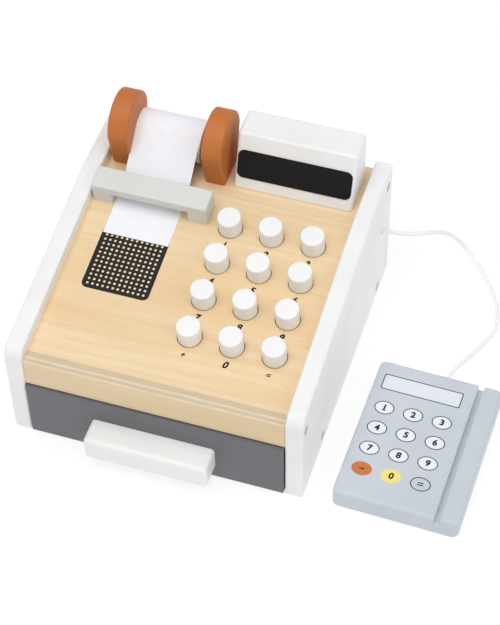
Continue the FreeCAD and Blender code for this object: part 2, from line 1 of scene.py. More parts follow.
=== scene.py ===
import math
import random

import bmesh
import bpy
from mathutils import Matrix, Vector


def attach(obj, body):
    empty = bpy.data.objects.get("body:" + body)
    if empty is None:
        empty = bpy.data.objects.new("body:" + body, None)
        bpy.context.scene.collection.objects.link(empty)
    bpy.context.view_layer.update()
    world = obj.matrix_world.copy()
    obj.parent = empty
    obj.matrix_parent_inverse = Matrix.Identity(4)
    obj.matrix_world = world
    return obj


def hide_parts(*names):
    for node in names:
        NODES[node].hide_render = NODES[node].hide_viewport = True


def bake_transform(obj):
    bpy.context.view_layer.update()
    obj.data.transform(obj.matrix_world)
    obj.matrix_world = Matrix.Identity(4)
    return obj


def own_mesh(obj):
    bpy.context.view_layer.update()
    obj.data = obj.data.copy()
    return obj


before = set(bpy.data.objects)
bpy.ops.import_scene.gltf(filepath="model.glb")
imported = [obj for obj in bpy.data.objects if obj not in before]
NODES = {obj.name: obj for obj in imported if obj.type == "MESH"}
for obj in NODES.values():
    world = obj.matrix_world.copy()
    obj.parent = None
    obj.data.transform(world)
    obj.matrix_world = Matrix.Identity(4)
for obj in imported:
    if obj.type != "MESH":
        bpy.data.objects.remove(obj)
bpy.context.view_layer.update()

MM = 0.001
QUARTER = math.pi / 2
UP = Vector((0, 0, 1))
rng = random.Random(7)

# ---------------------------------------------------------------- frames used for placing
SLOPE = math.radians(9.05)
SLOPE_FRONT = Vector((0, -94.4, 70.8)) * MM
ON_SLOPE = Matrix.Translation(SLOPE_FRONT) @ Matrix.Rotation(SLOPE, 4, "X")

READER_CORNER = Vector((119.1, -105.0, 0)) * MM
READER_TURN = math.radians(-1.4)
READER_HIGH = 16.5 * MM
SLOT_FLOOR = READER_HIGH - 6 * MM
SLOT_X = 189.5 * MM
ON_READER = (
    Matrix.Translation(READER_CORNER)
    @ Matrix.Rotation(READER_TURN, 4, "Z")
    @ Matrix.Translation((0, 0, READER_HIGH))
)


def xyz(*values):
    return Vector(values) * MM


# ---------------------------------------------------------------- node helpers
class Graph:
    """The node graph of the material of that name, with short names for the nodes this scene uses."""

    def __init__(self, name):
        self.material = bpy.data.materials.get(name) or bpy.data.materials.new(name)
        self.material.use_nodes = True
        self.tree = self.material.node_tree
        self.bsdf = self.tree.nodes["Principled BSDF"]
        self.coords = self.node("ShaderNodeTexCoord").outputs["Object"]

    def node(self, kind, **settings):
        made = self.tree.nodes.new(kind)
        for name, value in settings.items():
            setattr(made, name, value)
        return made

    def put(self, socket, value):
        if isinstance(value, bpy.types.NodeSocket):
            self.tree.links.new(value, socket)
        else:
            socket.default_value = value

    def set(self, name, value):
        self.put(self.bsdf.inputs[name], value)

    def mapped(self, scale=(1, 1, 1), turn=(0, 0, 0), move=(0, 0, 0), source=None):
        made = self.node("ShaderNodeMapping")
        self.put(made.inputs["Vector"], source or self.coords)
        made.inputs["Scale"].default_value = scale
        made.inputs["Rotation"].default_value = turn
        made.inputs["Location"].default_value = move
        return made.outputs[0]

    def noise(self, vector, scale, detail=3.0, rough=0.55, distortion=0.0):
        made = self.node("ShaderNodeTexNoise")
        self.put(made.inputs["Vector"], vector)
        made.inputs["Scale"].default_value = scale
        made.inputs["Detail"].default_value = detail
        made.inputs["Roughness"].default_value = rough
        made.inputs["Distortion"].default_value = distortion
        return made.outputs["Fac"]

    def cells(self, vector, scale):
        made = self.node("ShaderNodeTexVoronoi")
        self.put(made.inputs["Vector"], vector)
        made.inputs["Scale"].default_value = scale
        return made.outputs["Distance"]

    def bands(self, vector, scale, distortion, detail, detail_scale):
        made = self.node("ShaderNodeTexWave", bands_direction="Y")
        self.put(made.inputs["Vector"], vector)
        made.inputs["Scale"].default_value = scale
        made.inputs["Distortion"].default_value = distortion
        made.inputs["Detail"].default_value = detail
        made.inputs["Detail Scale"].default_value = detail_scale
        return made.outputs["Fac"]

    def math(self, operation, a, b=0.0):
        made = self.node("ShaderNodeMath", operation=operation)
        for socket, value in zip(made.inputs, (a, b)):
            self.put(socket, value)
        return made.outputs[0]

    def span(self, value, low, high, to_low=0.0, to_high=1.0):
        made = self.node("ShaderNodeMapRange")
        settings = {
            "Value": value,
            "From Min": low,
            "From Max": high,
            "To Min": to_low,
            "To Max": to_high,
        }
        for name, setting in settings.items():
            self.put(made.inputs[name], setting)
        return made.outputs[0]

    def ramp(self, value, *stops):
        made = self.node("ShaderNodeValToRGB")
        self.put(made.inputs[0], value)
        band = made.color_ramp
        while len(band.elements) < len(stops):
            band.elements.new(0.5)
        for element, (at, colour) in zip(band.elements, stops):
            element.position = at
            element.color = (*colour, 1)
        return made.outputs[0]

    def mix(self, fac, a, b, blend="MIX"):
        made = self.node("ShaderNodeMix", data_type="RGBA", blend_type=blend)
        self.put(made.inputs["Factor"], fac)
        for socket, value in ((made.inputs[6], a), (made.inputs[7], b)):
            if isinstance(value, tuple) and len(value) == 3:
                value = (*value, 1)
            self.put(socket, value)
        return made.outputs[2]

    def bump(self, height, strength, distance):
        made = self.node("ShaderNodeBump")
        self.put(made.inputs["Height"], height)
        made.inputs["Strength"].default_value = strength
        made.inputs["Distance"].default_value = distance
        return made.outputs[0]

    def edges(self, radius):
        """1 on a sharp or tightly rounded outer edge, 0 on the flat."""
        bevel = self.node("ShaderNodeBevel", samples=4)
        bevel.inputs["Radius"].default_value = radius
        plain = self.node("ShaderNodeNewGeometry").outputs["Normal"]
        dot = self.node("ShaderNodeVectorMath", operation="DOT_PRODUCT")
        self.put(dot.inputs[0], bevel.outputs[0])
        self.put(dot.inputs[1], plain)
        return self.span(dot.outputs["Value"], 0.995, 0.86)

    def axis(self, vector, name):
        made = self.node("ShaderNodeSeparateXYZ")
        self.put(made.inputs[0], vector)
        return made.outputs[name]

    def turned_normal(self, normal, turn):
        made = self.node("ShaderNodeMapping", vector_type="NORMAL")
        self.put(made.inputs["Vector"], normal)
        made.inputs["Rotation"].default_value = turn
        return made.outputs[0]


def srgb(r, g, b):
    """A colour given as 0 to 255 display values, as the shader wants it."""

    def linear(v):
        v /= 255
        return v / 12.92 if v <= 0.04045 else ((v + 0.055) / 1.055) ** 2.4

    return (linear(r), linear(g), linear(b))


def scaled(colour, k):
    return tuple(min(1.0, c * k) for c in colour)


def painted(name, colour, rough=0.42, grain_turn=(0, 0, 0), wear=0.35, grain=0.25, specular=0.42):
    """Satin paint over wood: the grain and the roller's texture show through a little."""
    g = Graph(name)
    along = g.mapped(scale=(18, 260, 260), turn=grain_turn)
    fibres = g.noise(along, 1.0, detail=5, rough=0.6)
    roller = g.noise(g.coords, 900, detail=2)
    cloud = g.noise(g.coords, 22, detail=3)
    tint = g.mix(g.span(cloud, 0.35, 0.65), scaled(colour, 0.965), scaled(colour, 1.02))
    tint = g.mix(g.span(fibres, 0.35, 0.75, 0.0, 0.10), tint, scaled(colour, 0.86))
    rim = g.edges(0.9 * MM)
    chips = g.span(g.noise(g.coords, 420, detail=4, rough=0.7), 0.60, 0.70)
    worn = g.math("MULTIPLY", rim, chips)
    tint = g.mix(g.math("MULTIPLY", worn, wear), tint, scaled(colour, 1.12))
    tint = g.mix(g.math("MULTIPLY", rim, 0.10), tint, scaled(colour, 0.80))
    g.set("Base Color", tint)
    g.set("Roughness", g.span(roller, 0.3, 0.7, rough - 0.05, rough + 0.07))
    height = g.math("ADD", g.math("MULTIPLY", fibres, grain), g.math("MULTIPLY", roller, 0.30))
    g.set("Normal", g.bump(height, 0.22, 0.12 * MM))
    g.bsdf.inputs["Specular IOR Level"].default_value = specular
    return g.material


def grain_tint(g, coords, pale, mid, dark):
    """Birch veneer with its grain along the vector's X; gives (colour, fine height)."""
    broad = g.mapped(scale=(3.2, 26, 26), source=coords)
    warp = g.noise(broad, 1.0, detail=4, rough=0.5, distortion=0.6)
    figure = g.mapped(scale=(6, 60, 60), source=coords)
    rings = g.bands(figure, 0.55, distortion=9.0, detail=3.0, detail_scale=1.4)
    streak = g.noise(g.mapped(scale=(14, 900, 900), source=coords), 1.0, detail=5, rough=0.62)
    pores = g.noise(g.mapped(scale=(120, 2600, 2600), source=coords), 1.0, detail=2, rough=0.5)
    tint = g.mix(g.span(warp, 0.36, 0.66), pale, mid)
    tint = g.mix(g.math("MULTIPLY", g.span(rings, 0.25, 0.95), 0.42), tint, mid)
    tint = g.mix(g.span(streak, 0.42, 0.80, 0.0, 0.24), tint, dark)
    tint = g.mix(g.span(pores, 0.62, 0.74, 0.0, 0.28), tint, scaled(dark, 0.7))
    height = g.math("ADD", g.math("MULTIPLY", streak, 0.6), g.math("MULTIPLY", pores, -0.5))
    return tint, height


BIRCH_PALE = srgb(243, 220, 182)
BIRCH_MID = srgb(236, 205, 158)
BIRCH_DARK = srgb(208, 168, 116)
BIRCH = (BIRCH_PALE, BIRCH_MID, BIRCH_DARK)


def plywood(name, turn, low, thick, layers, faces=BIRCH, axis="Z", grain_turn=(0, 0, 0), rough=0.46):
    """Veneer on a board's faces and its plies on the edges.

    The board's thickness runs along `axis` of the object's frame turned by `turn`, from
    `low`, in metres; the grain of the faces runs along X after `grain_turn`."""
    g = Graph(name)
    own = g.mapped(turn=turn)
    tint, height = grain_tint(g, g.mapped(turn=grain_turn, source=own), *faces)
    depth = g.math("DIVIDE", g.math("SUBTRACT", g.axis(own, axis), low), thick)
    wobble = g.noise(g.mapped(scale=(60, 60, 60)), 1.0, detail=2)
    depth = g.math("ADD", depth, g.span(wobble, 0.3, 0.7, -0.012, 0.012))
    ply = g.math("FRACT", g.math("MULTIPLY", depth, layers / 2))
    cross = g.math("GREATER_THAN", ply, 0.5)
    end_grain = g.noise(g.mapped(scale=(2400, 2400, 2400)), 1.0, detail=2)
    long_grain = g.noise(g.mapped(scale=(40, 1200, 1200), source=own), 1.0, detail=4)
    pale_ply = g.mix(g.span(long_grain, 0.35, 0.75), srgb(236, 208, 166), srgb(214, 176, 128))
    dark_ply = g.mix(g.span(end_grain, 0.35, 0.70), srgb(204, 160, 112), srgb(160, 116, 76))
    edge = g.mix(cross, pale_ply, dark_ply)
    within = g.math("FRACT", g.math("MULTIPLY", depth, layers))
    line = g.math("ABSOLUTE", g.math("SUBTRACT", within, 0.5))
    edge = g.mix(g.span(line, 0.44, 0.49, 0.0, 0.6), edge, srgb(138, 98, 62))
    normal = g.node("ShaderNodeNewGeometry").outputs["True Normal"]
    facing = g.math("ABSOLUTE", g.axis(g.turned_normal(normal, turn), axis))
    on_face = g.math("GREATER_THAN", facing, 0.80)
    g.set("Base Color", g.mix(on_face, edge, tint))
    g.set("Roughness", g.span(height, 0.0, 0.6, rough - 0.05, rough + 0.08))
    g.set("Normal", g.bump(height, 0.30, 0.10 * MM))
    g.bsdf.inputs["Specular IOR Level"].default_value = 0.38
    g.bsdf.inputs["Coat Weight"].default_value = 0.08
    g.bsdf.inputs["Coat Roughness"].default_value = 0.35
    return g.material


def rail_material(name, faces, front, thick):
    """The front rail: veneer on its face, and four uneven plies along its top edge."""
    g = Graph(name)
    tint, height = grain_tint(g, g.coords, *faces)
    depth = g.math("DIVIDE", g.math("SUBTRACT", g.axis(g.coords, "Y"), front), thick)
    wobble = g.noise(g.mapped(scale=(60, 60, 60)), 1.0, detail=2)
    depth = g.math("ADD", depth, g.span(wobble, 0.3, 0.7, -0.02, 0.02))
    pale, cross = srgb(236, 219, 192), srgb(216, 198, 170)
    plies = g.ramp(depth, (0.0, pale), (0.10, cross), (0.35, pale), (0.54, cross))
    plies.node.color_ramp.interpolation = "CONSTANT"
    pores = g.noise(g.mapped(scale=(70, 1500, 1500)), 1.0, detail=4)
    edge = g.mix(g.span(pores, 0.40, 0.75, 0.0, 0.45), plies, srgb(190, 168, 138))
    normal = g.node("ShaderNodeNewGeometry").outputs["True Normal"]
    on_face = g.math("GREATER_THAN", g.math("ABSOLUTE", g.axis(normal, "Y")), 0.80)
    g.set("Base Color", g.mix(on_face, edge, tint))
    g.set("Roughness", g.span(height, 0.0, 0.6, 0.45, 0.58))
    g.set("Normal", g.bump(height, 0.25, 0.10 * MM))
    g.bsdf.inputs["Specular IOR Level"].default_value = 0.3
    return g.material


def paper_material(name, tone):
    g = Graph(name)
    fibre = g.noise(g.coords, 1500, detail=4, rough=0.7)
    cloud = g.noise(g.coords, 120, detail=3)
    tint = g.mix(g.span(cloud, 0.35, 0.65), scaled(tone, 0.975), tone)
    tint = g.mix(g.span(fibre, 0.5, 0.8, 0.0, 0.10), tint, scaled(tone, 0.88))
    g.set("Base Color", tint)
    g.set("Roughness", g.span(fibre, 0.3, 0.7, 0.78, 0.92))
    g.set("Normal", g.bump(fibre, 0.18, 0.05 * MM))
    g.bsdf.inputs["Specular IOR Level"].default_value = 0.2
    return g.material


def roll_side_material(name, tone, centre):
    """The end of a wound roll: fine rings round its axle, which runs along X."""
    g = Graph(name)
    local = g.mapped(move=tuple(-c for c in centre))
    flat = g.node("ShaderNodeCombineXYZ")
    g.put(flat.inputs["Y"], g.axis(local, "Y"))
    g.put(flat.inputs["Z"], g.axis(local, "Z"))
    length = g.node("ShaderNodeVectorMath", operation="LENGTH")
    g.put(length.inputs[0], flat.outputs[0])
    uneven = g.span(g.noise(g.coords, 60), 0.3, 0.7, 0, 0.2 * MM)
    radius = g.math("ADD", length.outputs["Value"], uneven)
    rings = g.math("SINE", g.math("MULTIPLY", radius, 2 * math.pi / (0.55 * MM)))
    rings = g.math("ADD", rings, g.span(g.noise(g.coords, 300), 0.3, 0.7, -0.8, 0.8))
    tint = g.mix(g.span(rings, -1.0, 1.4), scaled(tone, 0.80), scaled(tone, 0.98))
    g.set("Base Color", tint)
    g.set("Roughness", g.span(rings, -1, 1, 0.92, 0.80))
    g.set("Normal", g.bump(rings, 0.35, 0.08 * MM))
    g.bsdf.inputs["Specular IOR Level"].default_value = 0.2
    return g.material


def film_material(name, colour, rough=0.30, specular=0.4, uneven=0.09):
    """A printed or painted patch, with dust and a slightly uneven tone and gloss."""
    g = Graph(name)
    cloud = g.noise(g.coords, 70, detail=4)
    dust = g.span(g.noise(g.coords, 2600, detail=2), 0.70, 0.78)
    tint = g.mix(g.span(cloud, 0.3, 0.7), scaled(colour, 1 - uneven), scaled(colour, 1 + uneven))
    tint = g.mix(g.math("MULTIPLY", dust, 0.05), tint, (0.6, 0.6, 0.6))
    g.set("Base Color", tint)
    g.set("Roughness", g.span(cloud, 0.3, 0.7, rough - 0.04, rough + 0.08))
    g.set("Normal", g.bump(g.noise(g.coords, 700, detail=3), 0.10, 0.05 * MM))
    g.bsdf.inputs["Specular IOR Level"].default_value = specular
    return g.material


def steel_material(name, tone):
    g = Graph(name)
    brushed = g.noise(g.mapped(scale=(900, 900, 120)), 1.0, detail=3)
    spots = g.span(g.noise(g.coords, 500, detail=4, rough=0.7), 0.60, 0.72)
    tint = g.mix(g.span(brushed, 0.3, 0.7), scaled(tone, 0.85), tone)
    g.set("Base Color", g.mix(g.math("MULTIPLY", spots, 0.4), tint, scaled(tone, 0.5)))
    g.bsdf.inputs["Metallic"].default_value = 1.0
    g.set("Roughness", g.span(brushed, 0.3, 0.7, 0.28, 0.46))
    g.set("Normal", g.bump(brushed, 0.15, 0.05 * MM))
    return g.material


def cord_material(name, tone):
    """A soft cotton cord: small lumps of thread with finer fibres on them."""
    g = Graph(name)
    fine = g.noise(g.coords, 2200, detail=3, rough=0.7)
    lumps = g.cells(g.coords, 1100)
    tint = g.mix(g.span(lumps, 0.1, 0.8), tone, scaled(tone, 0.92))
    tint = g.mix(g.span(fine, 0.5, 0.8, 0.0, 0.2), tint, scaled(tone, 0.86))
    g.set("Base Color", tint)
    g.set("Roughness", g.span(fine, 0.3, 0.7, 0.75, 0.95))
    g.set("Normal", g.bump(lumps, 0.5, 0.25 * MM))
    g.bsdf.inputs["Sheen Weight"].default_value = 0.15
    return g.material


def paint_slot_light(material):
    """Painted light in the reader's slot: its floor painted a little paler and its left wall much paler,
    standing in for light bouncing into the slot's shade.
    """
    g = Graph(material.name)
    colour = g.bsdf.inputs["Base Color"]
    plain = colour.links[0].from_socket
    facing = g.node("ShaderNodeNewGeometry").outputs["True Normal"]
    level = g.math("ABSOLUTE", g.math("SUBTRACT", g.axis(g.coords, "Z"), SLOT_FLOOR))
    floor = g.math("LESS_THAN", level, 0.3 * MM)
    floor = g.math("MULTIPLY", floor, g.math("GREATER_THAN", g.axis(facing, "Z"), 0.9))
    aside = g.math("ABSOLUTE", g.math("SUBTRACT", g.axis(g.coords, "X"), SLOT_X))
    wall = g.math("LESS_THAN", aside, 5 * MM)
    wall = g.math("MULTIPLY", wall, g.math("GREATER_THAN", g.axis(facing, "X"), 0.9))
    # painted light: the floor and left wall of the slot are lightened where they lie in shade
    floor_light = g.mix(floor, plain, srgb(208, 215, 222))
    g.put(colour, g.mix(wall, floor_light, srgb(244, 248, 252)))


# ---------------------------------------------------------------- the materials
WHITE = painted("white_paint", srgb(244, 244, 244), rough=0.42)
WHITE_UPRIGHT = painted("white_paint_sides", srgb(244, 244, 244), rough=0.44, grain_turn=(0, 0, QUARTER))
GREY = painted("grey_paint", srgb(107, 108, 112), rough=0.48, wear=0.5, grain=0.45)
GUIDE_GREY = painted("guide_paint", srgb(221, 223, 220), rough=0.45)
ORANGE = painted("orange_paint", srgb(196, 115, 57), rough=0.46, wear=0.3, specular=0.3)
READER_BLUE = painted("reader_paint_with_slot_light", srgb(203, 210, 218), rough=0.45)
# Paint light into the reader's slot: a paler floor and a much paler left wall.
paint_slot_light(READER_BLUE)
TOP_PLY = plywood("slope_ply", (-SLOPE, 0, 0), 0.0, 6 * MM, 5)
FLAT_PLY = plywood("level_ply", (0, 0, 0), 87.9 * MM, 6 * MM, 5)
RAIL_FACES = (srgb(240, 216, 179), srgb(231, 205, 167), srgb(205, 169, 124))
RAIL_PLY = rail_material("rail_ply", RAIL_FACES, -103.6 * MM, 9.2 * MM)
BACK_PLY = plywood("back_ply", (0, 0, 0), 97 * MM, 8 * MM, 5, axis="Y")
FLOOR_PLY = plywood("floor_ply", (0, 0, 0), 0.0, 12 * MM, 9)
CARRIER_PLY = plywood("carrier_ply", (-SLOPE, 0, 0), 0.0, 6 * MM, 5)
DRAWER_PLY = plywood("drawer_ply", (0, 0, 0), 12.4 * MM, 3 * MM, 3)
DRAWER_SIDE_PLY = plywood(
    "drawer_side_ply", (0, 0, 0), -80 * MM, 6 * MM, 5, axis="X", grain_turn=(0, 0, QUARTER)
)
DRAWER_BACK_PLY = plywood("drawer_back_ply", (0, 0, 0), 68 * MM, 6 * MM, 5, axis="Y")
BEECH_TONES = (srgb(222, 186, 142), srgb(208, 166, 118), srgb(176, 130, 86))
BEECH = plywood("beech", (0, 0, 0), 0, 1, 1, faces=BEECH_TONES)
PAPER = paper_material("paper", srgb(247, 248, 253))
PAPER_SIDE = roll_side_material("paper_side", srgb(214, 208, 204), (0, 80.3 * MM, 110 * MM))
CARD_CORE = paper_material("card_core", srgb(176, 146, 112))
BLACK_GLOSS = film_material("screen_black", srgb(30, 30, 32), rough=0.5, specular=0.12)
BLACK_PRINT = film_material("pad_black", srgb(44, 41, 42), rough=0.60, specular=0.15)
INK = film_material("ink", srgb(26, 26, 30), rough=0.60, specular=0.15)
OUTLINE_INK = film_material("outline_ink", srgb(50, 52, 60), rough=0.60, specular=0.15)
PALE_PRINT = film_material("pale_print", srgb(237, 241, 246), rough=0.5, uneven=0.02)
WINDOW_PRINT = film_material("window_print", srgb(228, 233, 239), rough=0.5, uneven=0.02)
ORANGE_PRINT = film_material("orange_print", srgb(206, 120, 66), rough=0.5, uneven=0.03)
YELLOW_PRINT = film_material("yellow_print", srgb(242, 228, 130), rough=0.5, uneven=0.03)
DOT_PRINT = film_material("dot_wood", srgb(236, 216, 180), rough=0.55)
STEEL = steel_material("zinc_steel", (0.50, 0.50, 0.52))
# Dark colour that stands in for the shade in the screws' cross recesses: painted shade.
RECESS_PAINTED_SHADE = film_material("screw_recess_painted_shade", srgb(52, 50, 48), rough=0.6)
CORD_WHITE = cord_material("white_cord", srgb(254, 254, 254))


def dress(material, *names):
    for name in names:
        thing = NODES[name]
        thing.data.materials.clear()
        thing.data.materials.append(material)


dress(WHITE_UPRIGHT, "left_side_panel", "right_side_panel")
dress(WHITE, "display_block", "drawer_handle", "cord_knot")
dress(GREY, "drawer_front")
dress(GUIDE_GREY, "paper_guide")
dress(ORANGE, "roll_holder_left", "roll_holder_right")
dress(READER_BLUE, "card_reader")
dress(TOP_PLY, "top_slope_panel")
dress(FLAT_PLY, "top_level_panel")
dress(RAIL_PLY, "front_rail")
dress(BACK_PLY, "back_panel")
dress(FLOOR_PLY, "case_floor")
dress(CARRIER_PLY, "key_carrier_board")
dress(DRAWER_PLY, "drawer_bottom")
dress(DRAWER_SIDE_PLY, "drawer_side_left", "drawer_side_right", "drawer_long_divider")
dress(DRAWER_BACK_PLY, "drawer_back", "drawer_cross_divider")
dress(BEECH, "drawer_runner_left", "drawer_runner_right", "roll_axle")
dress(BLACK_GLOSS, "display_screen")
dress(CARD_CORE, "roll_core")
dress(STEEL, "case_screws")


# ---------------------------------------------------------------- mesh helpers
# Prints lie over each other, each a little higher than the one below it.
FILL_TOP = 0.02 * MM
LINE_TOP = 0.03 * MM
INK_TOP = 0.05 * MM
INK_HALF = 0.02 * MM


def piece(name, bm, material, body, world=Matrix.Identity(4), smooth=True):
    """Turn a bmesh into a piece that rides on a CAD body."""
    mesh = bpy.data.meshes.new(name)
    bm.to_mesh(mesh)
    bm.free()
    mesh.transform(world)
    if smooth:
        for polygon in mesh.polygons:
            polygon.use_smooth = True
    mesh.materials.append(material)
    made = bpy.data.objects.new(name, mesh)
    bpy.context.scene.collection.objects.link(made)
    if body:
        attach(made, body)
    return made


def sharpen(thing, angle=30):
    thing.data.set_sharp_from_angle(angle=math.radians(angle))


def plate(bm, outline, low, high):
    """A flat closed plate through an outline of (x, y), from z low to z high."""
    lower = [bm.verts.new(Vector((x, y, low))) for x, y in outline]
    upper = [bm.verts.new(Vector((x, y, high))) for x, y in outline]
    bm.faces.new(upper)
    bm.faces.new(lower[::-1])
    count = len(outline)
    for i in range(count):
        j = (i + 1) % count
        bm.faces.new((lower[i], lower[j], upper[j], upper[i]))


def ring_plate(bm, outer, inner, low, high):
    """A flat frame between two outlines with the same number of points."""
    rows = []
    for outline, z in ((outer, low), (outer, high), (inner, high), (inner, low)):
        rows.append([bm.verts.new(Vector((x, y, z))) for x, y in outline])
    count = len(outer)
    for a, b in ((0, 1), (1, 2), (2, 3), (3, 0)):
        for i in range(count):
            j = (i + 1) % count
            bm.faces.new((rows[a][i], rows[a][j], rows[b][j], rows[b][i]))


def sized(outline):
    """An outline given in millimetres, in metres."""
    return [(x * MM, y * MM) for x, y in outline]


def oval(cx, cy, rx, ry, count=56):
    turn = 2 * math.pi / count
    return [(cx + rx * math.cos(i * turn), cy + ry * math.sin(i * turn)) for i in range(count)]


def round_rect(x0, y0, x1, y1, r, steps=8):
    spots = []
    centres = ((x1 - r, y1 - r), (x0 + r, y1 - r), (x0 + r, y0 + r), (x1 - r, y0 + r))
    for corner, (cx, cy) in enumerate(centres):
        start = 90 * corner
        for i in range(steps + 1):
            a = math.radians(start + 90 * i / steps)
            spots.append((cx + r * math.cos(a), cy + r * math.sin(a)))
    return spots


def lathe(bm, profile, count=96):
    """Turn a profile of (radius, z) about Z."""
    rows = []
    for r, z in profile:
        if r < 1e-7:
            rows.append([bm.verts.new((0, 0, z))])
            continue
        turns = [2 * math.pi * i / count for i in range(count)]
        rows.append([bm.verts.new((r * math.cos(a), r * math.sin(a), z)) for a in turns])
    for lower, upper in zip(rows, rows[1:]):
        for i in range(count):
            j = (i + 1) % count
            corners = [lower[k % len(lower)] for k in (i, j)] + [upper[k % len(upper)] for k in (j, i)]
            unique = list(dict.fromkeys(corners))
            if len(unique) > 2:
                bm.faces.new(unique)
    bmesh.ops.recalc_face_normals(bm, faces=bm.faces)


def arc_points(cx, cz, r, start, end, steps):
    """Points on an arc, in degrees, for a lathe profile."""
    out = []
    for i in range(steps + 1):
        a = math.radians(start + (end - start) * i / steps)
        out.append((cx + r * math.cos(a), cz + r * math.sin(a)))
    return out


def lettering(name, text, where, body, world, size, bold, slant):
    """Printed digits and signs, as thin raised shapes."""
    curve = bpy.data.curves.new(name, "FONT")
    curve.body = text
    curve.size = size
    curve.align_x = "CENTER"
    curve.align_y = "CENTER"
    curve.offset = bold
    curve.shear = slant
    curve.extrude = INK_HALF
    curve.resolution_u = 6
    holder = bpy.data.objects.new(name, curve)
    bpy.context.scene.collection.objects.link(holder)
    bpy.context.view_layer.update()
    shown = holder.evaluated_get(bpy.context.evaluated_depsgraph_get())
    mesh = bpy.data.meshes.new_from_object(shown)
    bpy.data.objects.remove(holder)
    mesh.materials.clear()
    mesh.materials.append(INK)
    mesh.transform(world @ Matrix.Translation((*where, INK_TOP)))
    made = bpy.data.objects.new(name, mesh)
    bpy.context.scene.collection.objects.link(made)
    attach(made, body)


# ---------------------------------------------------------------- keys
KEY_NAMES = [["plus", "0", "equals"], ["7", "8", "9"], ["4", "5", "6"], ["1", "2", "3"]]
SIGNS = {"plus": "+", "equals": "="}
COLUMN_ONE = 9.9
COLUMN_PITCH = 28.5
ROW_ONE = 37.55
ROW_PITCH = 28.7
KEY_R = 7.9 * MM
KEY_TOP = 13.8 * MM
RIM = 0.9 * MM
PAINT_END = -0.6 * MM
FLANGE_TOP = -6.05 * MM
FLANGE_LOW = -8.05 * MM
FLANGE_R = 10 * MM
STEM_R = 4 * MM
STEM_END = -24.5 * MM
SOFTEN = 0.2 * MM
LABEL_LEFT = 0.5 * MM
LABEL_AHEAD = 14.0 * MM
DIGIT_PRINT = {"size": 6.6 * MM, "bold": 0.26 * MM}
SIGN_PRINT = {"size": 5.6 * MM, "bold": 0.12 * MM}


def key_profile():
    """A key's outline as (radius, z), from the middle of its top down to the end of its stem."""
    return (
        [(0, KEY_TOP), (KEY_R * 0.5, KEY_TOP)]
        + arc_points(KEY_R - RIM, KEY_TOP - RIM, RIM, 90, 0, 8)
        + [
            (KEY_R, KEY_TOP * 0.5),
            (KEY_R, PAINT_END),
            (KEY_R, FLANGE_TOP + SOFTEN),
            (KEY_R, FLANGE_TOP),
            (FLANGE_R - SOFTEN, FLANGE_TOP),
            (FLANGE_R, FLANGE_TOP - SOFTEN),
            (FLANGE_R, FLANGE_LOW + SOFTEN),
            (FLANGE_R - SOFTEN, FLANGE_LOW),
            (STEM_R, FLANGE_LOW),
            (STEM_R, STEM_END + 2.5 * SOFTEN),
            (STEM_R - 2 * SOFTEN, STEM_END),
            (0, STEM_END),
        ]
    )


COIL_TURNS = 4
COIL_STEPS = 24
COIL_R = 5.3 * MM
COIL_LOW = -16.95 * MM
COIL_RISE = 8.35 * MM
WIRE_R = 0.4 * MM
WIRE_SIDES = 12


def coil(bm):
    """A compression spring: a wire swept up a helix about z."""
    rings = []
    for step in range(COIL_TURNS * COIL_STEPS + 1):
        turns = step / COIL_STEPS
        out = Vector((math.cos(turns * math.tau), math.sin(turns * math.tau), 0))
        middle = out * COIL_R + UP * (COIL_LOW + COIL_RISE * turns / COIL_TURNS)
        ring = []
        for side in range(WIRE_SIDES):
            a = side * math.tau / WIRE_SIDES
            ring.append(bm.verts.new(middle + (out * math.cos(a) + UP * math.sin(a)) * WIRE_R))
        rings.append(ring)
    for low, high in zip(rings, rings[1:]):
        for i in range(WIRE_SIDES):
            j = (i + 1) % WIRE_SIDES
            bm.faces.new((low[i], low[j], high[j], high[i]))
    bm.faces.new(rings[0])
    bm.faces.new(rings[-1])
    bmesh.ops.recalc_face_normals(bm, faces=bm.faces)


# Bare wood for the keys below their paint, made dark as painted shade inside the holes they sit in.
KEY_BARE_PAINTED_SHADE = paper_material("key_bare_wood_painted_shade", srgb(112, 88, 62))
KEY_PAINT = painted("key_paint", srgb(247, 247, 247), rough=0.38, grain_turn=(0, QUARTER, 0), wear=0.2)


def dowel(name, seat):
    """A key: paint on the part that shows; below it, bare wood made dark with painted shade for the hole
    it sits in.
    """
    bm = bmesh.new()
    lathe(bm, key_profile())
    for face in bm.faces:
        face.material_index = int(face.calc_center_median().z < PAINT_END)
    made = piece(f"dowel_key_{name}", bm, KEY_PAINT, f"key_{name}", seat)
    made.data.materials.append(KEY_BARE_PAINTED_SHADE)
    sharpen(made, 35)
    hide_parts(f"key_{name}")


def spring(name, seat):
    """A key's spring: a coil round the key's stem, riding on the case, with a mesh of its own."""
    bm = bmesh.new()
    coil(bm)
    made = piece(f"coil_spring_{name}", bm, STEEL, "case", seat)
    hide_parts(f"key_spring_{name}")
    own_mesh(made)


for line, names in enumerate(KEY_NAMES):
    for column, name in enumerate(names):
        x = (COLUMN_ONE + COLUMN_PITCH * column) * MM
        u = (ROW_ONE + ROW_PITCH * line) * MM
        seat = ON_SLOPE @ Matrix.Translation((x, u, 0))
        dowel(name, seat)
        spring(name, seat)
        look = SIGN_PRINT if name in SIGNS else DIGIT_PRINT
        spot = (x - LABEL_LEFT, u - LABEL_AHEAD)
        lettering(f"label_{name}", SIGNS.get(name, name), spot, "case", ON_SLOPE, slant=0.25, **look)
